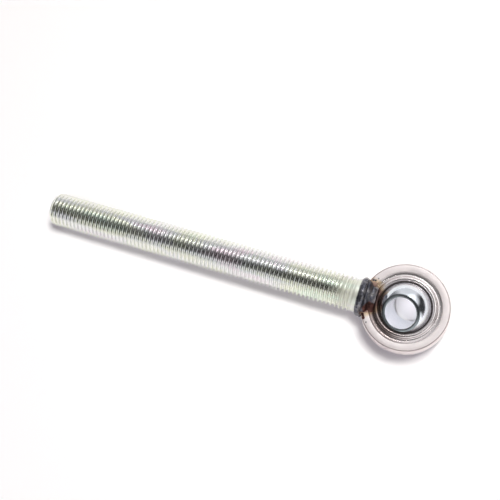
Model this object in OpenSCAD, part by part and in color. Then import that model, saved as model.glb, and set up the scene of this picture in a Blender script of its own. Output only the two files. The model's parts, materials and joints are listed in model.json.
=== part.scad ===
// Weld-on rod end: a swivel ball bearing in a steel eye, welded to a length of threaded rod.
// Frame: origin at the centre of the ball, rod along -X, eye axis along Z.
// Units are millimetres.

/* [Threaded rod] */
// Major diameter of the thread
rod_d = 20; // [16:1:22]
// Thread pitch
thread_pitch = 2.5; // [2:0.5:3]
// Distance from the ball's centre to the free end of the rod
rod_reach = 220; // [80:5:400]
// Chamfer at the rod's free end
rod_chamfer = 1.6; // [0.5:0.1:2]
// Length next to the eye where the weld heat has levelled the thread
plain_length = 6; // [4:0.5:10]

/* [Eye] */
// Outer diameter of the eye ring
eye_d = 50; // [48:1:60]
// Thickness of the eye ring
eye_t = 10; // [9.5:0.5:11]
// Bevel on the eye ring's edges
eye_bevel = 0.35; // [0.2:0.05:0.6]
// Diameter of the seat in the eye ring that holds the race
race_d = 41.2; // [41:0.1:43]

/* [Race] */
// Height of the race's lip above the mid plane
lip_height = 6.2; // [6:0.1:6.8]
// Radius at which the lip is highest
lip_radius = 16.4; // [16.2:0.1:16.8]
// Rounding of the lip
lip_round = 1.3; // [1.1:0.05:1.4]
// Rounding of the staking groove round the lip
groove_round = 1.8; // [1.6:0.05:1.85]
// Depth of the staking groove below the eye's face
groove_depth = 0.55; // [0.4:0.05:0.6]
// Radius of the race's mouth, which keeps the ball in
mouth_radius = 14.8; // [14.6:0.05:14.9]

/* [Ball] */
// Diameter of the ball
ball_d = 30.5; // [30:0.1:31]
// Width of the ball between its flat faces
ball_width = 22; // [20:0.5:23]
// Diameter of the hole through the ball
bore_d = 18; // [14:0.5:19]
// Bevel at both ends of the hole
bore_bevel = 0.4; // [0.2:0.1:0.6]
// Gap between the ball and the race, which the grease fills
seat_gap = 0.25; // [0.2:0.01:0.3]
// Thickness of the grease film
film_t = 0.13; // [0.1:0.01:0.15]
// Angle by which the ball leans from the eye's axis as stored
ball_lean = 28; // [0:1:34]
// Direction of that lean, measured from +X towards +Y
lean_direction = -104; // [-180:1:180]

/* [Weld] */
// Distance from the eye's rim to the middle of the collar bead
collar_gap = 0.6; // [0.4:0.1:1.2]
// Thickness of the collar bead
collar_bead = 3.6; // [3.2:0.1:4]
// Height of the face runs above the rod where they meet it
run_root_rise = 1.2; // [0.9:0.1:1.4]
// Radius of the face runs at their tip
run_tip_radius = 6.6; // [6.4:0.1:7]
// Distance from the ball's centre to the tip of the face runs
run_tip_reach = 15.9; // [15.6:0.1:16.4]

/* [Hidden] */
$fn = 96;

rod_r = rod_d / 2;
// ISO metric profile: depth of the external thread, and its crest and root flats
thread_depth = 0.6134 * thread_pitch;
root_r = rod_r - thread_depth;
crest_half = thread_pitch / 16;
root_half = thread_pitch / 8;
plain_r = rod_r - 0.3;
eye_r = eye_d / 2;
face_z = eye_t / 2;
race_r = race_d / 2;

// The rod butts against the eye's rim and is coped a little way into it
cope = 0.4;
rod_start = eye_r - cope;
rod_bevel = 1.5;
thread_start = rod_start + plain_length;
thread_length = rod_reach - thread_start;
ridges = floor(thread_length / thread_pitch);

ball_r = ball_d / 2;
seat_r = ball_r + seat_gap;
film_in = ball_r + (seat_gap - film_t) / 2;
film_out = film_in + film_t;
mouth_z = sqrt(seat_r * seat_r - mouth_radius * mouth_radius);
film_half = mouth_z - 0.6;

// Centres of the lip's and the groove's roundings, which touch each other
lip_c = [lip_radius, lip_height - lip_round];
groove_z = face_z - groove_depth + groove_round;
round_sum = lip_round + groove_round;
groove_c = [lip_radius + sqrt(pow(round_sum, 2) - pow(groove_z - lip_c[1], 2)), groove_z];
// The cone from the mouth touches the lip's rounding
mouth_to_lip = [lip_c[0] - mouth_radius, lip_c[1] - mouth_z];
mouth_dist = norm(mouth_to_lip);
mouth_angle = atan2(mouth_to_lip[1], mouth_to_lip[0]) + asin(lip_round / mouth_dist);
cone_length = sqrt(mouth_dist * mouth_dist - lip_round * lip_round);
cone_end = [mouth_radius + cone_length * cos(mouth_angle), mouth_z + cone_length * sin(mouth_angle)];

collar_r = collar_bead / 2;
collar_reach = eye_r + collar_gap;
run_root_radius = rod_r + run_root_rise;
// The fill reaches in to this radius and to this distance from the ball's centre, and flares outwards
fill_r = 6.5;
fill_start = eye_r - 3;
fill_rise = 0.5;
fill_flare = 0.3;
run_length = eye_r - run_tip_reach;
slack = 1;

// Spatter beads: radius from the ball's centre, direction from +X, size
spatter_rows = [[24.0, 211, 0.75], [22.6, 153, 0.5], [23.4, 218, 0.4], [22.2, 148, 0.35]];

module along_rod() {
    rotate([0, -90, 0]) children();
}

module on_ball() {
    rotate([0, 0, lean_direction]) rotate([0, ball_lean, 0]) children();
}

module ridge_profile() {
    polygon(concat(
        [[0, rod_start], [plain_r, rod_start], [plain_r, thread_start - slack], [root_r, thread_start]],
        [for (i = [0:ridges - 1]) let (z = thread_start + (i + 0.5) * thread_pitch) each [
            [root_r, z - thread_pitch / 2 + root_half],
            [rod_r, z - crest_half],
            [rod_r, z + crest_half],
            [root_r, z + thread_pitch / 2 - root_half]]],
        [[root_r, rod_reach], [0, rod_reach]]));
}

module rod_envelope() {
    polygon([[0, rod_start], [rod_r - rod_bevel, rod_start], [rod_r, rod_start + rod_bevel],
        [rod_r, rod_reach - rod_chamfer], [rod_r - rod_chamfer, rod_reach], [0, rod_reach]]);
}

module threaded_rod() {
    color("#d9dccb") difference() {
        along_rod() rotate_extrude() intersection() {
            ridge_profile();
            rod_envelope();
        }
        cylinder(h = rod_d + 2 * slack, r = eye_r, center = true);
    }
}

module eye_ring() {
    color("#d8cfca") rotate_extrude() polygon([
        [race_r, eye_bevel - face_z], [race_r + eye_bevel, -face_z],
        [eye_r - eye_bevel, -face_z], [eye_r, eye_bevel - face_z],
        [eye_r, face_z - eye_bevel], [eye_r - eye_bevel, face_z],
        [race_r + eye_bevel, face_z], [race_r, face_z - eye_bevel]]);
}

// Upper half of the race's cross section, before the ball's seat is cut
module race_half() {
    difference() {
        union() {
            polygon([[mouth_radius - slack, 0], [race_r, 0], [race_r, face_z - eye_bevel],
                [race_r - eye_bevel, face_z - eye_bevel / 4], [groove_c[0], face_z],
                groove_c, lip_c, cone_end, [mouth_radius, mouth_z],
                [mouth_radius - slack, mouth_z - slack]]);
            translate(lip_c) circle(r = lip_round);
        }
        translate(groove_c) circle(r = groove_round);
    }
}

module bearing_race() {
    color("#b9aeaa") difference() {
        rotate_extrude() {
            race_half();
            mirror([0, 1]) race_half();
        }
        sphere(r = seat_r);
    }
}

module grease_film() {
    color("#3a3428") difference() {
        intersection() {
            sphere(r = film_out);
            cylinder(h = 2 * film_half, r = eye_r, center = true);
        }
        sphere(r = film_in);
    }
}

module ball() {
    color("#cfd6da") on_ball() difference() {
        intersection() {
            sphere(r = ball_r);
            cylinder(h = ball_width, r = eye_r, center = true);
        }
        rotate_extrude() polygon([
            [0, -ball_width / 2 - slack], [bore_d / 2 + bore_bevel + slack, -ball_width / 2 - slack],
            [bore_d / 2, bore_bevel - ball_width / 2], [bore_d / 2, ball_width / 2 - bore_bevel],
            [bore_d / 2 + bore_bevel + slack, ball_width / 2 + slack], [0, ball_width / 2 + slack]]);
    }
}

module rod_stub() {
    along_rod() translate([0, 0, rod_start]) cylinder(h = 2 * plain_length, r = plain_r);
}

// The collar bead, and the weld metal that fills the wedge between the rod's end and the eye's rim
module collar_blank() {
    along_rod() rotate_extrude() {
        translate([plain_r, collar_reach]) circle(r = collar_r);
        polygon([[fill_r, fill_start], [rod_r + fill_rise, fill_start],
            [rod_r + fill_rise + fill_flare, collar_reach], [fill_r, collar_reach]]);
    }
}

module weld_collar() {
    color("#3b3a3d") difference() {
        collar_blank();
        rod_stub();
        cylinder(h = rod_d + 4 * collar_bead, r = eye_r, center = true);
    }
}

// A run is the part of a cone between the collar and the race that stands over one face of the eye
module weld_run(side) {
    color("#3b3a3d") difference() {
        intersection() {
            along_rod() translate([0, 0, run_tip_reach])
                cylinder(h = run_length, r1 = run_tip_radius, r2 = run_root_radius);
            cylinder(h = rod_d + 4 * collar_bead, r = eye_r, center = true);
        }
        translate([-rod_reach / 2, -rod_reach / 2, side > 0 ? face_z - rod_reach : -face_z])
            cube(rod_reach);
        rod_stub();
        bearing_race_blank();
    }
}

// The race with its seat filled, for cutting the welds to it
module bearing_race_blank() {
    rotate_extrude() {
        race_half();
        mirror([0, 1]) race_half();
    }
}

module weld_top_run() {
    weld_run(1);
}

module weld_bottom_run() {
    weld_run(-1);
}

module weld_spatter() {
    color("#4a3a33") for (s = spatter_rows)
        rotate([0, 0, s[1]]) translate([s[0], 0, face_z]) difference() {
            sphere(r = s[2]);
            translate([-eye_r, -eye_r, -eye_d]) cube(eye_d);
        }
}

threaded_rod();
eye_ring();
bearing_race();
grease_film();
ball();
weld_collar();
weld_top_run();
weld_bottom_run();
weld_spatter();
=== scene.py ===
"""Looks of a weld-on rod end: threaded rod, eye, race, ball and welds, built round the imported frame."""

import json
import math

import bmesh
import bpy
from mathutils import Matrix, Vector, noise


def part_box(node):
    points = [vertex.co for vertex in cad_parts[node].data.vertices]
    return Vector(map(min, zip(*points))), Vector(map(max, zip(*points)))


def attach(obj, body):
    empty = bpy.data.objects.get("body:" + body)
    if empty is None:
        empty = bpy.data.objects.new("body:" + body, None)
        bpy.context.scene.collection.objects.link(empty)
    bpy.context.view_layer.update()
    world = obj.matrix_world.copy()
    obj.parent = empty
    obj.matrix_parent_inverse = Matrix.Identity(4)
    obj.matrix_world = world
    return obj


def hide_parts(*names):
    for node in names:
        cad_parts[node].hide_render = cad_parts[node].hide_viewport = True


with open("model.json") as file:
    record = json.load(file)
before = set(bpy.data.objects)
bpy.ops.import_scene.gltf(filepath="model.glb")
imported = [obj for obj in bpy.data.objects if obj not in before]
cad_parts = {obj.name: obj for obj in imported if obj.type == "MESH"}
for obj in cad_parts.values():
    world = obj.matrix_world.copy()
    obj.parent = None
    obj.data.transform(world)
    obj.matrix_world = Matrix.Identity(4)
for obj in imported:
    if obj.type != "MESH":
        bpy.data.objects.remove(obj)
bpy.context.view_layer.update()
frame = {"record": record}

MM = 0.001
TURN = 2 * math.pi

# ---------------------------------------------------------------- bodies, and sizes in metres
ROD_BODY = "rod_and_eye"
BALL_BODY = "ball"
FILM_BODY = "film"

rod_low, rod_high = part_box("threaded_rod")
eye_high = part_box("eye_ring")[1]
race_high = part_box("bearing_race")[1]
ball_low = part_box("ball")[0]
film_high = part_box("grease_film")[1]

# The frame gives these
ROD_RADIUS = rod_high.y
ROD_FREE_END = rod_low.x
EYE_RADIUS = eye_high.x
EYE_FACE = eye_high.z
RACE_RADIUS = race_high.x
LIP_HEIGHT = race_high.z

mounts = {m["name"]: m for m in frame["record"]["mounts"]}
BALL_AXIS = Vector(mounts["bore"]["axis"]).normalized()
BORE_RADIUS = mounts["bore"]["dims"]["r_mm"] * MM
BORE_BEVEL = 0.4 * MM
# Half the ball's width: the bore mount's wall ends at the bevels
BALL_HALF = mounts["bore"]["dims"]["length_mm"] * MM / 2 + BORE_BEVEL

# The frame doesn't give these
BALL_RADIUS = 15.25 * MM
SEAT_RADIUS = 15.5 * MM
MOUTH_RADIUS = 14.8 * MM
LIP_RADIUS = 16.4 * MM
LIP_ROUND = 1.3 * MM
GROOVE_ROUND = 1.2 * MM
GROOVE_DEPTH = 0.55 * MM
PITCH = 2.5 * MM
THREAD_DEPTH = 0.6134 * PITCH
ROD_CHAMFER = 1.6 * MM
# Where the rod ends inside the weld, and its radius there, levelled by the heat
ROD_WELD_END = -24.75 * MM
PLAIN_RADIUS = ROD_RADIUS - 0.35 * MM
# Where the thread starts to level off, and where it is gone
FADE_START = -33.5 * MM
FADE_END = -28.0 * MM


# ---------------------------------------------------------------- mesh helpers
def mesh_object(name, verts, faces, smooth_angle=40):
    """A new object from vertices and faces, shaded smooth except at edges sharper than smooth_angle."""
    mesh = bpy.data.meshes.new(name)
    mesh.from_pydata(verts, [], faces)
    mesh.validate()
    obj = bpy.data.objects.new(name, mesh)
    bpy.context.scene.collection.objects.link(obj)
    mesh.shade_smooth()
    mesh.set_sharp_from_angle(angle=math.radians(smooth_angle))
    return obj


def arc(centre, radius, start, end, steps):
    """Points along an arc in the r-z plane, angles in radians."""
    return [
        (centre[0] + radius * math.cos(a), centre[1] + radius * math.sin(a))
        for a in (start + (end - start) * i / steps for i in range(steps + 1))
    ]


def rounded(points, radius, steps=4):
    """A closed outline with each corner rounded."""
    out = []
    count = len(points)
    for i, corner in enumerate(points):
        here = Vector(corner)
        back = (Vector(points[i - 1]) - here).normalized()
        ahead = (Vector(points[(i + 1) % count]) - here).normalized()
        half = back.angle(ahead) / 2
        reach = radius / math.tan(half)
        centre = here + (back + ahead).normalized() * (radius / math.sin(half))
        first = here + back * reach - centre
        last = here + ahead * reach - centre
        for k in range(steps + 1):
            spoke = first.lerp(last, k / steps).normalized() * radius
            out.append(tuple(centre + spoke))
    return out


def lathe(name, outline, segments=160, smooth_angle=40):
    """The closed r-z outline turned about Z. Its faces point outward, whichever way the outline runs."""
    count = len(outline)
    turn_sum = sum(r * outline[i - 1][1] - z * outline[i - 1][0] for i, (r, z) in enumerate(outline))
    if turn_sum < 0:
        outline = outline[::-1]
    verts = []
    for s in range(segments):
        a = TURN * s / segments
        verts += [(r * math.cos(a), r * math.sin(a), z) for r, z in outline]
    faces = []
    for s in range(segments):
        n = (s + 1) % segments
        for i in range(count):
            j = (i + 1) % count
            faces.append((s * count + i, s * count + j, n * count + j, n * count + i))
    return mesh_object(name, verts, faces, smooth_angle)


def mirrored(upper):
    """An upper half outline followed by its mirror image below z = 0."""
    return upper + [(r, -z) for r, z in reversed(upper) if z > 0]


# ---------------------------------------------------------------- pieces
def thread_height(u):
    """Share of the thread's depth that is cut away at u, a share of the pitch, crest at one half."""
    crest = 1 / 16
    root = 3 / 8
    share = (abs(u - 0.5) - crest) / (root - crest)
    share = min(1.0, max(0.0, share))
    return share - 0.05 * math.sin(TURN * share)


def make_rod():
    """The rod with a true one-start right-hand helix, which runs out into the weld and the chamfer."""
    samples = 12
    around = 72
    length = ROD_WELD_END - ROD_FREE_END
    turns = int(length / PITCH) + 3
    rows = turns * samples
    verts = []
    for j in range(around):
        share = j / around
        a = TURN * share
        for i in range(rows):
            turn = i / samples + share - 1
            x = ROD_FREE_END + turn * PITCH
            cut = thread_height(turn % 1) * THREAD_DEPTH
            radius = ROD_RADIUS - cut
            fade = min(1.0, max(0.0, (x - FADE_START) / (FADE_END - FADE_START)))
            radius += (PLAIN_RADIUS - radius) * fade
            if x <= ROD_FREE_END:
                x = ROD_FREE_END
            if x >= ROD_WELD_END:
                x = ROD_WELD_END
                radius = PLAIN_RADIUS
            radius = min(radius, ROD_RADIUS - ROD_CHAMFER + (x - ROD_FREE_END) * 0.75)
            verts.append((x, radius * math.cos(a), -radius * math.sin(a)))
    faces = []
    for j in range(around):
        n = (j + 1) % around
        shift = samples if n == 0 else 0
        for i in range(rows - 1 - samples):
            a = j * rows + i
            d = n * rows + i + shift
            faces.append((a, a + 1, d + 1, d))
    free_centre = len(verts)
    weld_centre = free_centre + 1
    verts += [(ROD_FREE_END, 0, 0), (ROD_WELD_END, 0, 0)]
    last = rows - samples - 1
    for j in range(around):
        n = (j + 1) % around
        shift = samples if n == 0 else 0
        faces.append((j * rows, n * rows + shift, free_centre))
        faces.append((j * rows + last, weld_centre, n * rows + last + shift))
    obj = mesh_object("helical_rod", verts, faces)
    tidy_mesh(obj, smooth_angle=75)
    return obj


def tidy_mesh(obj, smooth_angle=40, gap=0.005 * MM):
    """Merges vertices that fell on each other, points faces outward, and keeps flat end faces crisp."""
    mesh = bmesh.new()
    mesh.from_mesh(obj.data)
    bmesh.ops.remove_doubles(mesh, verts=mesh.verts, dist=gap)
    bmesh.ops.dissolve_degenerate(mesh, edges=mesh.edges, dist=gap / 5)
    bmesh.ops.recalc_face_normals(mesh, faces=mesh.faces)
    mesh.to_mesh(obj.data)
    ends = [e.index for e in mesh.edges if any(abs(f.normal.x) > 0.9999 for f in e.link_faces)]
    mesh.free()
    obj.data.shade_smooth()
    obj.data.set_sharp_from_angle(angle=math.radians(smooth_angle))
    for index in ends:
        obj.data.edges[index].use_edge_sharp = True


def make_eye():
    """The turned ring, with small rounded edges."""
    outline = rounded(
        [
            (RACE_RADIUS, -EYE_FACE),
            (EYE_RADIUS, -EYE_FACE),
            (EYE_RADIUS, EYE_FACE),
            (RACE_RADIUS, EYE_FACE),
        ],
        0.3 * MM,
    )
    return lathe("turned_eye", outline, 192)


def make_race():
    """The race: ball seat, rounded lips and staking grooves on both faces."""
    mouth = (MOUTH_RADIUS, math.sqrt(SEAT_RADIUS**2 - MOUTH_RADIUS**2))
    lip = (LIP_RADIUS, LIP_HEIGHT - LIP_ROUND)
    groove_z = EYE_FACE - GROOVE_DEPTH + GROOVE_ROUND
    reach = LIP_ROUND + GROOVE_ROUND
    groove = (LIP_RADIUS + math.sqrt(reach**2 - (groove_z - lip[1]) ** 2), groove_z)
    to_lip = Vector((lip[0] - mouth[0], lip[1] - mouth[1]))
    cone = math.atan2(to_lip.y, to_lip.x) + math.asin(LIP_ROUND / to_lip.length)
    between = math.atan2(groove[1] - lip[1], groove[0] - lip[0])
    bottom = groove[1] - GROOVE_ROUND
    rim = EYE_FACE - 0.04 * MM
    edge = RACE_RADIUS - 0.14 * MM
    rise_steps = 10
    upper = arc((0, 0), SEAT_RADIUS, 0, math.asin(mouth[1] / SEAT_RADIUS), 14)
    upper += arc(lip, LIP_ROUND, cone + math.pi / 2, between, 18)
    upper += arc(groove, GROOVE_ROUND, between + math.pi, 1.5 * math.pi, 10)[1:]
    for k in range(1, rise_steps + 1):
        share = k / rise_steps
        upper.append((groove[0] + (edge - groove[0]) * share, bottom + (rim - bottom) * share**2))
    upper += [(RACE_RADIUS, rim - 0.12 * MM), (RACE_RADIUS, 0)]
    return lathe("staked_race", mirrored(upper), 192)


def make_ball():
    """The ball: sphere, flat ends, bevelled bore, all edges lightly broken."""
    flat = math.sqrt(BALL_RADIUS**2 - BALL_HALF**2)
    edge = math.asin((BALL_HALF - 0.12 * MM) / BALL_RADIUS)
    upper = [(BORE_RADIUS, 0), (BORE_RADIUS, BALL_HALF - BORE_BEVEL - 0.1 * MM)]
    bevel = (BORE_RADIUS + BORE_BEVEL, BALL_HALF - BORE_BEVEL)
    upper += arc(bevel, BORE_BEVEL, math.pi, math.pi / 2, 6)
    upper += [(flat - 0.15 * MM, BALL_HALF)]
    upper += arc((0, 0), BALL_RADIUS, edge, 0, 48)
    obj = lathe("swivel_ball", mirrored(upper), 192)
    obj.data.transform(Vector((0, 0, 1)).rotation_difference(BALL_AXIS).to_matrix().to_4x4())
    return obj


def make_film():
    """The grease film, a thin shell between race and ball."""
    gap = 0.06 * MM
    inner = BALL_RADIUS + gap
    outer = SEAT_RADIUS - gap
    top = math.asin(film_high.z / outer)
    outline = arc((0, 0), outer, -top, top, 20) + arc((0, 0), inner, top, -top, 20)
    return lathe("grease_band", outline, 128)


def ripple(seed, point, size):
    """Smooth noise of one size, between about -1 and 1."""
    return noise.noise(Vector(point) / size + Vector((seed, 0.7 * seed, -seed)))


def make_collar():
    """The collar bead round the rod's end, with the ripples of its weld pool."""
    around = 160
    ring = 32
    bead = 1.8 * MM
    reach = EYE_RADIUS + 0.2 * MM
    verts = []
    for j in range(around):
        a = TURN * j / around
        turn = Vector((math.cos(a), math.sin(a), 0.3))
        wobble = 0.3 * MM * noise.noise(turn * 1.7)
        swell = 0.10 * noise.noise(turn * 3.1) + 0.03 * math.sin(34 * a)
        for i in range(ring):
            b = TURN * i / ring
            size = bead * (0.95 + swell * max(0.0, math.sin(b)))
            x = -reach + wobble + 1.22 * size * math.cos(b)
            r = PLAIN_RADIUS + size * math.sin(b)
            lump = 0.10 * MM * ripple(3, (x, r * math.cos(a), r * math.sin(a)), 2.4 * MM)
            r += lump * math.sin(b)
            verts.append((x + lump, r * math.cos(a), r * math.sin(a)))
    faces = []
    for j in range(around):
        n = (j + 1) % around
        for i in range(ring):
            k = (i + 1) % ring
            faces.append((j * ring + i, n * ring + i, n * ring + k, j * ring + k))
    obj = mesh_object("collar_bead", verts, faces)
    tidy_mesh(obj, smooth_angle=70)
    return obj


def run_height(s, v, seed, x, y):
    """Height of a face run above the eye's mid plane, at s along it and v across it."""
    crown = math.sqrt(max(0.0, 1 - (0.94 * v) ** 2))
    level = (ROD_RADIUS + 0.3 * MM - 4.6 * MM * s**0.9) * (0.30 + 0.70 * crown)
    second = 0.75 * MM * math.exp(-(((s - 0.30) / 0.11) ** 2))
    valley = -0.55 * MM * math.exp(-(((s - 0.13) / 0.05) ** 2))
    gully = -0.50 * MM * math.exp(-(((s - 0.52) / 0.07) ** 2))
    coarse = 0.42 * MM * ripple(seed, (x, y, 0), 2.6 * MM)
    fine = 0.16 * MM * ripple(seed + 5, (x, y, 0), 1.0 * MM)
    return level + (second + valley + gully) * crown + coarse + fine


def make_run(name, side, seed):
    """Rough weld beads over one face of the eye, from the collar to the race's lip."""
    along = 72
    across = 80
    start = 24.6 * MM
    tip = 15.9 * MM
    bottom = EYE_FACE - 0.4 * MM
    edge_lift = 0.02 * MM
    rows = across + 1
    verts = []
    for i in range(along + 1):
        s = i / along
        x = -(start + (tip - start) * s)
        for j in range(across + 1):
            v = 2 * j / across - 1
            half = (10.3 - 3.6 * s) * MM
            half *= 1 + 0.10 * ripple(seed + 2, (x, side * (1 if v > 0 else -1) * 4 * MM, 0), 1.6 * MM)
            shift = -1.3 * MM * s
            y = half * v + shift * (1 - v * v) + shift * 0.7
            rag = 0.35 * MM * ripple(seed + 7, (y, 0, 0), 1.5 * MM) * s
            edge = min(1.0, 5 * (1 - abs(v))) * min(1.0, 7 * (1 - s))
            z = bottom + (run_height(s, v, seed, x, y) - bottom) * edge**0.6
            verts.append((x + rag, y, side * max(z, bottom + edge_lift)))
    upper = len(verts)
    verts += [(x, y, side * bottom) for x, y, z in verts]
    faces = []
    for i in range(along):
        for j in range(across):
            a, b = i * rows + j, (i + 1) * rows + j
            faces.append((a, b, b + 1, a + 1))
            faces.append((upper + a, upper + a + 1, upper + b + 1, upper + b))
        for j in (0, across):
            a, b = i * rows + j, (i + 1) * rows + j
            faces.append((a, b, b + upper, a + upper))
    for j in range(across):
        for i in (0, along):
            a = i * rows + j
            faces.append((a, a + 1, a + 1 + upper, a + upper))
    obj = mesh_object(name, verts, faces)
    tidy_mesh(obj, smooth_angle=60)
    return obj


# Spatter beads: distance from the eye's axis in mm, direction in degrees, radius in mm
SPATTER = (
    (24.0, 211, 0.75),
    (22.6, 153, 0.5),
    (23.4, 218, 0.4),
    (22.2, 148, 0.35),
    (24.1, 205.5, 0.7),
    (23.9, 208, 0.55),
    (23.7, 154.5, 0.6),
)


def make_spatter():
    """The small beads of weld metal that landed on the eye's face."""
    mesh = bmesh.new()
    for k, (reach, direction, size) in enumerate(SPATTER):
        a = math.radians(direction)
        centre = Vector((reach * MM * math.cos(a), reach * MM * math.sin(a), EYE_FACE))
        made = bmesh.ops.create_icosphere(mesh, subdivisions=3, radius=size * MM)
        for v in made["verts"]:
            v.co *= 1.15 + 0.25 * noise.noise(v.co / (0.5 * MM) + Vector((k, 0, 0)))
            v.co.z = max(v.co.z * 0.8, -0.1 * MM)
            v.co += centre
    data = bpy.data.meshes.new("spatter_beads")
    mesh.to_mesh(data)
    mesh.free()
    data.shade_smooth()
    obj = bpy.data.objects.new("spatter_beads", data)
    bpy.context.scene.collection.objects.link(obj)
    return obj


# ---------------------------------------------------------------- materials
class Shader:
    """A node material with one Principled shader and short ways to add nodes."""

    def __init__(self, name):
        self.material = bpy.data.materials.new(name)
        self.material.use_nodes = True
        self.tree = self.material.node_tree
        self.main = next(n for n in self.tree.nodes if n.type == "BSDF_PRINCIPLED")
        self.place = self.add("ShaderNodeTexCoord").outputs["Object"]

    def add(self, kind, links=None, **values):
        """A new node: links names its inputs and the sockets or constants that feed them."""
        made = self.tree.nodes.new(kind)
        for key, value in values.items():
            setattr(made, key, value)
        for key, value in (links or {}).items():
            self.feed(made.inputs[key], value)
        return made

    def feed(self, socket, value):
        if isinstance(value, bpy.types.NodeSocket):
            self.tree.links.new(value, socket)
        else:
            socket.default_value = value

    def set(self, **values):
        """Values or sockets for the Principled shader, underscores for spaces."""
        for key, value in values.items():
            self.feed(self.main.inputs[key.replace("_", " ")], value)

    def noise(self, scale, detail=3.0, rough=0.55, place=None, stretch=None):
        place = place or self.place
        if stretch:
            place = self.add("ShaderNodeMapping", {"Vector": place, "Scale": stretch}).outputs["Vector"]
        made = self.add(
            "ShaderNodeTexNoise",
            {"Vector": place, "Scale": scale, "Detail": detail, "Roughness": rough},
        )
        return made.outputs["Fac"]

    def ramp(self, fac, stops, mode="LINEAR"):
        made = self.add("ShaderNodeValToRGB", {"Fac": fac})
        made.color_ramp.interpolation = mode
        elements = made.color_ramp.elements
        while len(elements) < len(stops):
            elements.new(0.5)
        for element, (where, colour) in zip(elements, stops):
            element.position = where
            element.color = (*colour, 1) if len(colour) == 3 else colour
        return made.outputs["Color"]

    def span(self, value, low, high, to_low=0.0, to_high=1.0, smooth=False):
        made = self.add(
            "ShaderNodeMapRange",
            {"Value": value, "From Min": low, "From Max": high, "To Min": to_low, "To Max": to_high},
        )
        made.interpolation_type = "SMOOTHSTEP" if smooth else "LINEAR"
        return made.outputs["Result"]

    def mix(self, fac, a, b, mode="MIX"):
        made = self.add("ShaderNodeMix", data_type="RGBA", blend_type=mode)
        for socket, value in ((made.inputs[0], fac), (made.inputs[6], a), (made.inputs[7], b)):
            if isinstance(value, tuple) and len(value) == 3:
                value = (*value, 1)
            self.feed(socket, value)
        return made.outputs[2]

    def maths(self, operation, a, b=None):
        made = self.add("ShaderNodeMath", operation=operation)
        self.feed(made.inputs[0], a)
        if b is not None:
            self.feed(made.inputs[1], b)
        return made.outputs[0]

    def vector(self, operation, a, b=None):
        """A vector calculation, which gives a number for a length, a distance or a dot product."""
        made = self.add("ShaderNodeVectorMath", operation=operation)
        self.feed(made.inputs[0], a)
        if b is not None:
            self.feed(made.inputs[1], b)
        gives_number = operation in ("DISTANCE", "DOT_PRODUCT", "LENGTH")
        return made.outputs["Value" if gives_number else "Vector"]

    def flat_place(self):
        """The place seen along Z."""
        return self.vector("MULTIPLY", self.place, (1, 1, 0))

    def along_rod(self):
        """The place's X."""
        return self.add("ShaderNodeSeparateXYZ", {"Vector": self.place}).outputs["X"]

    def bump(self, height, distance, strength=1.0, normal=None):
        made = self.add("ShaderNodeBump", {"Height": height, "Distance": distance, "Strength": strength})
        if normal:
            self.feed(made.inputs["Normal"], normal)
        return made.outputs["Normal"]


WHITE = (1, 1, 1)
WELD_CENTRE = (-24.5 * MM, 0, 0)
# Centre of the painted shade on the race's lip
LIP_SHADE_CENTRE = (-12 * MM, -13 * MM, 0)
# Centre and radius of each place where the weld metal is burnt brown
BURNT_SPOTS = (
    ((-19.3 * MM, -6.6 * MM, 5.8 * MM), 3.8 * MM),
    ((-21.3 * MM, -12.0 * MM, 5.2 * MM), 3.2 * MM),
)


def heat_tint(look):
    """Blue-black, brown and straw colours by the distance from the weld's middle, with a ragged edge."""
    away = look.vector("DISTANCE", look.flat_place(), WELD_CENTRE)
    rag = look.span(look.noise(260, 2), 0, 1, -2.4 * MM, 2.4 * MM)
    return look.ramp(
        look.span(look.maths("ADD", away, rag), 8 * MM, 14.5 * MM),
        [
            (0.0, (0.10, 0.075, 0.075)),
            (0.22, (0.36, 0.24, 0.20)),
            (0.45, (0.80, 0.66, 0.45)),
            (0.85, WHITE),
        ],
    )


def rim_shade(look, reach):
    """Painted shade: a darker band on the rounded edge that runs round the eye's rim."""
    return look.ramp(
        look.span(reach, EYE_RADIUS - 0.75 * MM, EYE_RADIUS + 0.25 * MM),
        [
            (0.0, WHITE),
            (0.25, (0.45, 0.40, 0.40)),
            (0.55, (0.50, 0.45, 0.45)),
            (0.70, (0.95, 0.92, 0.92)),
        ],
    )


def mouth_shade(look, reach):
    """Painted shade: darker round the race's mouth, next to the ball."""
    rag = look.span(look.noise(350, 3), 0, 1, -0.2 * MM, 0.2 * MM)
    share = look.span(look.maths("ADD", reach, rag), MOUTH_RADIUS + 0.3 * MM, MOUTH_RADIUS + 1.1 * MM)
    return look.ramp(share, [(0.0, (0.55, 0.52, 0.52)), (1.0, WHITE)])


def lip_shade_tint(look):
    """Painted shade on the race's lip, darkest round a point on its lower left side by the weld."""
    away = look.vector("DISTANCE", look.flat_place(), LIP_SHADE_CENTRE)
    share = look.span(away, 7 * MM, 25 * MM, smooth=True)
    return look.ramp(share, [(0.0, (0.36, 0.32, 0.31)), (1.0, WHITE)])


def turning_marks(look, depth):
    """Fine rings left by the lathe."""
    rings = look.add(
        "ShaderNodeTexWave",
        {"Vector": look.place, "Scale": 820, "Distortion": 0.4, "Detail": 2.0},
    )
    rings.wave_type = "RINGS"
    rings.rings_direction = "Z"
    marks = look.bump(rings.outputs["Fac"], depth, 0.5)
    return look.bump(look.noise(500, 2), depth, 0.4, marks)


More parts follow.
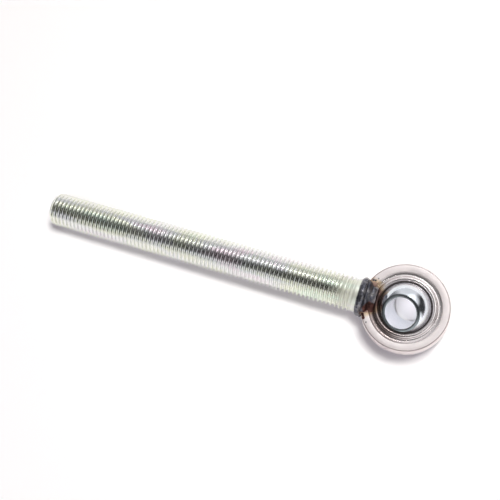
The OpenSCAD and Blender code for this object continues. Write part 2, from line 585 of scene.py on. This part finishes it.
def steel(name, tone, metallic, roughness, mark_depth, shaded_lip):
    """Bare steel with heat colours round the weld and the marks that its making left, plus painted shade
    on the rim's edge, round the race's mouth and, where asked, on the lip.
    """
    look = Shader(name)
    dull_tone = tuple(0.90 * c for c in tone)
    reach = look.vector("LENGTH", look.flat_place())
    colour = look.ramp(look.noise(120, 4), [(0.35, dull_tone), (0.65, tone)])
    # Heat tint is the steel's own colour; the rim, mouth and lip tints are painted shade.
    tints = [heat_tint(look), rim_shade(look, reach), mouth_shade(look, reach)]
    if shaded_lip:
        tints.append(lip_shade_tint(look))
    for tint in tints:
        colour = look.mix(1.0, colour, tint, "MULTIPLY")
    if mark_depth:
        look.set(Normal=turning_marks(look, mark_depth))
    look.set(
        Base_Color=colour,
        Metallic=metallic,
        Roughness=look.span(look.noise(90, 2), 0.3, 0.7, roughness - 0.02, roughness + 0.05),
    )
    return look.material


def zinc_rod():
    """Zinc plate, faintly yellow, green and pink, dulled by the heat at the weld."""
    look = Shader("zinc_plate_yellow")
    tint = look.ramp(
        look.noise(70, 3, 0.6, stretch=(0.35, 1, 1)),
        [
            (0.30, (0.72, 0.80, 0.72)),
            (0.45, (0.80, 0.81, 0.71)),
            (0.56, (0.79, 0.80, 0.79)),
            (0.70, (0.82, 0.74, 0.77)),
        ],
    )
    dull_from = -46 * MM
    dull_to = -29 * MM
    along = look.along_rod()
    dull = look.span(along, dull_from, dull_to, 0.0, 0.30, smooth=True)
    look.set(
        Base_Color=tint,
        Metallic=look.span(along, dull_from, dull_to, 1.0, 0.6, smooth=True),
        Roughness=look.maths("ADD", look.span(look.noise(400, 3), 0.3, 0.7, 0.10, 0.17), dull),
        Normal=look.bump(look.noise(1500, 3), 0.006 * MM, 0.5),
    )
    return look.material


def zinc_ball():
    """Bright blue-white zinc plate over a machined ball, with a painted dark reflection on its two end
    faces.
    """
    look = Shader("zinc_plate_blue")
    plate = look.ramp(
        look.noise(90, 3),
        [
            (0.35, (0.78, 0.82, 0.86)),
            (0.6, (0.86, 0.88, 0.92)),
            (0.75, (0.84, 0.88, 0.86)),
        ],
    )
    # Painted reflection: dark grey for the end faces, which mirror a dark part of the studio.
    dark_end_reflection = look.ramp(look.noise(240, 3), [(0.35, (0.24, 0.27, 0.28)), (0.65, (0.34, 0.37, 0.38))])
    height = look.maths("ABSOLUTE", look.vector("DOT_PRODUCT", look.place, tuple(BALL_AXIS)))
    end_face = look.span(height, BALL_HALF - 0.42 * MM, BALL_HALF - 0.32 * MM)
    look.set(
        Base_Color=look.mix(end_face, plate, dark_end_reflection),
        Metallic=1.0,
        Roughness=look.span(look.noise(350, 3), 0.3, 0.7, 0.10, 0.19),
        Normal=look.bump(look.noise(700, 4), 0.012 * MM, 0.6),
    )
    return look.material


def weld_metal():
    """Dark oxide scale, smooth on the collar and rough on the runs, with bare and burnt places."""
    look = Shader("weld_metal")
    scale = look.ramp(
        look.noise(260, 4),
        [
            (0.35, (0.050, 0.052, 0.066)),
            (0.52, (0.12, 0.12, 0.14)),
            (0.64, (0.26, 0.25, 0.25)),
            (0.75, (0.12, 0.11, 0.12)),
        ],
    )
    burnt = look.ramp(look.noise(420, 4), [(0.4, (0.045, 0.018, 0.015)), (0.65, (0.13, 0.055, 0.045))])
    bare_metal = (0.42, 0.37, 0.37)
    rag = look.span(look.noise(500, 3), 0, 1, -1.8 * MM, 1.8 * MM)
    burnt_share = 0.0
    for spot, radius in BURNT_SPOTS:
        away = look.maths("ADD", look.vector("DISTANCE", look.place, spot), rag)
        near = look.span(away, 0.8 * radius, 1.2 * radius, 1.0, 0.0, smooth=True)
        burnt_share = look.maths("MAXIMUM", near, burnt_share)
    along = look.along_rod()
    tip = look.maths("ADD", along, rag)
    bare_share = look.span(tip, -18.6 * MM, -16.6 * MM, 0.0, 0.75, smooth=True)
    runs_from = -25.5 * MM
    runs_to = -22.5 * MM
    rough = look.span(along, runs_from, runs_to, 0.14, 0.30, smooth=True)
    pitting = look.span(along, runs_from, runs_to, 0.12, 0.8)
    look.set(
        Base_Color=look.mix(burnt_share, look.mix(bare_share, scale, bare_metal), burnt),
        Metallic=0.8,
        Roughness=look.maths("ADD", rough, look.span(look.noise(420, 3), 0.3, 0.7, -0.04, 0.12)),
        Normal=look.bump(look.noise(1300, 5, 0.65), 0.05 * MM, pitting),
    )
    return look.material


def grease():
    """Dark grey grease with a wet shine."""
    look = Shader("grease")
    look.set(
        Base_Color=look.ramp(look.noise(300, 2), [(0.4, (0.05, 0.045, 0.04)), (0.6, (0.11, 0.10, 0.085))]),
        Roughness=look.span(look.noise(500, 2), 0.3, 0.7, 0.2, 0.4),
        Normal=look.bump(look.noise(900, 2), 0.02 * MM, 0.5),
    )
    return look.material


def dress(obj, body, node, material):
    """Gives a new piece its material, its body and the CAD node that it stands for."""
    obj.data.materials.clear()
    obj.data.materials.append(material)
    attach(obj, body)
    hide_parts(node)


# ---------------------------------------------------------------- the object
weld = weld_metal()
turned = steel(
    "turned_steel",
    tone=(0.90, 0.835, 0.825),
    metallic=0.65,
    roughness=0.36,
    mark_depth=0.006 * MM,
    shaded_lip=False,
)
# The race's steel carries painted shade on its lip.
pressed = steel(
    "pressed_steel",
    tone=(0.84, 0.785, 0.775),
    metallic=0.88,
    roughness=0.22,
    mark_depth=0,
    shaded_lip=True,
)

dress(make_rod(), ROD_BODY, "threaded_rod", zinc_rod())
dress(make_eye(), ROD_BODY, "eye_ring", turned)
dress(make_race(), ROD_BODY, "bearing_race", pressed)
dress(make_ball(), BALL_BODY, "ball", zinc_ball())
dress(make_film(), FILM_BODY, "grease_film", grease())
dress(make_collar(), ROD_BODY, "weld_collar", weld)
dress(make_run("upper_run", 1, 2), ROD_BODY, "weld_top_run", weld)
dress(make_run("lower_run", -1, 11), ROD_BODY, "weld_bottom_run", weld)
dress(make_spatter(), ROD_BODY, "weld_spatter", weld)


# ---------------------------------------------------------------- floor, light and camera
FLOOR_HALF = 12.0
FLOOR_CLEARANCE = 0.02 * MM
# The floor's glow at the part and far away, and the distances between which it rises
GLOW_NEAR = 0.09
GLOW_FAR = 0.95
GLOW_FROM = 0.35
GLOW_TO = 1.5


def make_floor():
    """A pale floor that the ball and the rod's free end rest on."""
    slope = math.atan2(ball_low.z - rod_low.z, -ROD_FREE_END)
    corners = ((-1, -1), (1, -1), (1, 1), (-1, 1))
    floor = mesh_object("floor", [(x * FLOOR_HALF, y * FLOOR_HALF, 0) for x, y in corners], [(0, 1, 2, 3)])
    place = Matrix.Translation((0, 0, ball_low.z - FLOOR_CLEARANCE))
    floor.data.transform(place @ Matrix.Rotation(-slope, 4, "Y"))
    look = Shader("floor_white")
    away = look.vector("LENGTH", look.place)
    look.set(
        Base_Color=look.ramp(look.noise(3, 2), [(0.3, (0.94, 0.94, 0.945)), (0.7, (0.95, 0.95, 0.95))]),
        Roughness=0.9,
        Emission_Color=(0.96, 0.93, 1.0, 1),
        Emission_Strength=look.span(away, GLOW_FROM, GLOW_TO, GLOW_NEAR, GLOW_FAR, smooth=True),
    )
    floor.data.materials.append(look.material)


# Studio walls as the metal mirrors them: a base level, then the direction of each soft patch,
# the half widths of its core and of its edge in degrees, and its change in strength
STUDIO_BASE = 0.80
STUDIO_LOWEST = 0.03
STUDIO_TINT = (0.975, 0.975, 1.0, 1)
STUDIO_PATCHES = (
    ((0.05, -0.30, 0.95), 24, 30, -0.78),
    ((-0.42, 0.0, 0.91), 12, 26, -0.40),
    ((-0.68, -0.60, 0.42), 12, 36, -0.66),
    ((0.35, 0.58, 0.74), 14, 34, 0.80),
    ((0.2, -1.0, 0.35), 16, 34, 0.45),
    ((-1.0, 0.1, 0.30), 26, 52, -0.55),
    ((0.88, 0.44, 0.20), 26, 46, -0.76),
    ((0.93, -0.25, 0.27), 8, 20, 0.70),
)


def studio_patch(tree, coord, direction, core, edge, change):
    """The strength that one patch adds, by the angle between its direction and the ray's."""
    dot = tree.nodes.new("ShaderNodeVectorMath")
    dot.operation = "DOT_PRODUCT"
    dot.inputs[1].default_value = Vector(direction).normalized()
    tree.links.new(coord, dot.inputs[0])
    span = tree.nodes.new("ShaderNodeMapRange")
    span.interpolation_type = "SMOOTHSTEP"
    span.inputs["From Min"].default_value = math.cos(math.radians(edge))
    span.inputs["From Max"].default_value = math.cos(math.radians(core))
    span.inputs["To Max"].default_value = change
    tree.links.new(dot.outputs["Value"], span.inputs["Value"])
    return span.outputs["Result"]


def make_world():
    """A white studio with brighter and darker patches, which lights nothing but reflections."""
    world = bpy.data.worlds.new("studio")
    bpy.context.scene.world = world
    world.use_nodes = True
    tree = world.node_tree
    background = tree.nodes["Background"]
    coord = tree.nodes.new("ShaderNodeTexCoord").outputs["Generated"]
    base = tree.nodes.new("ShaderNodeValue")
    base.outputs[0].default_value = STUDIO_BASE
    total = base.outputs[0]
    for patch in STUDIO_PATCHES:
        plus = tree.nodes.new("ShaderNodeMath")
        plus.operation = "ADD"
        tree.links.new(studio_patch(tree, coord, *patch), plus.inputs[0])
        tree.links.new(total, plus.inputs[1])
        total = plus.outputs[0]
    lowest = tree.nodes.new("ShaderNodeMath")
    lowest.operation = "MAXIMUM"
    lowest.inputs[1].default_value = STUDIO_LOWEST
    tree.links.new(total, lowest.inputs[0])
    tree.links.new(lowest.outputs[0], background.inputs["Strength"])
    background.inputs["Color"].default_value = STUDIO_TINT
    world.cycles_visibility.diffuse = False


LAMP_DISTANCE = 1.4
LAMP_AIM = Vector((-0.09, 0, 0))


def hang_lamp(data, location, aim, colour):
    """Places a lamp and points it at aim."""
    data.color = colour
    lamp = bpy.data.objects.new(data.name, data)
    lamp.location = location
    lamp.rotation_mode = "QUATERNION"
    lamp.rotation_quaternion = (aim - lamp.location).to_track_quat("-Z", "Y")
    bpy.context.scene.collection.objects.link(lamp)
    return lamp


def area_light(name, direction, size, power, colour, mirrored_in_metal=False):
    """A square soft light, either for diffuse surfaces alone or for reflections alone."""
    data = bpy.data.lights.new(name, "AREA")
    data.shape = "SQUARE"
    data.size = size
    data.energy = power
    place = LAMP_AIM + Vector(direction).normalized() * LAMP_DISTANCE
    lamp = hang_lamp(data, place, LAMP_AIM, colour)
    lamp.visible_glossy = mirrored_in_metal
    lamp.visible_diffuse = not mirrored_in_metal


def bore_light():
    """A narrow lamp that lights the floor through the ball's hole."""
    data = bpy.data.lights.new("bore_lamp", "SPOT")
    data.energy = 54
    data.spot_size = math.radians(1.0)
    data.spot_blend = 0.3
    data.shadow_soft_size = 0.01
    lamp = hang_lamp(data, BALL_AXIS * LAMP_DISTANCE, Vector((0, 0, 0)), (0.95, 0.95, 1.0))
    lamp.visible_glossy = False


def make_camera():
    """The camera, looking down at the part at about 77 degrees, with no depth of field."""
    place = Vector((35.9, -117.4, 554.8)) * MM
    aim = Vector((-96.1, 8.3, 0)) * MM
    roll = math.radians(18.87)
    data = bpy.data.cameras.new("camera")
    data.sensor_width = 36
    data.lens = 71.7
    data.clip_start = 0.01
    data.dof.use_dof = False
    cam = bpy.data.objects.new("camera", data)
    back = (place - aim).normalized()
    right = Vector((0, 1, 0)).cross(back).normalized()
    up = back.cross(right)
    turned_right = right * math.cos(roll) + up * math.sin(roll)
    turned_up = back.cross(turned_right)
    look = Matrix((turned_right, turned_up, back)).transposed().to_4x4()
    cam.matrix_world = Matrix.Translation(place) @ look
    bpy.context.scene.collection.objects.link(cam)
    bpy.context.scene.camera = cam


make_floor()
make_world()
area_light("key", (0.20, 0.18, 0.96), size=0.42, power=18.8, colour=(1.0, 0.985, 0.95))
area_light("front", (-0.11, -0.46, 0.88), size=0.4, power=3.8, colour=(0.99, 0.88, 1.0))
area_light("glint", (0.12, 0.56, 0.82), size=0.16, power=1.6, colour=WHITE, mirrored_in_metal=True)
bore_light()
make_camera()
bpy.context.scene.view_settings.view_transform = "Standard"
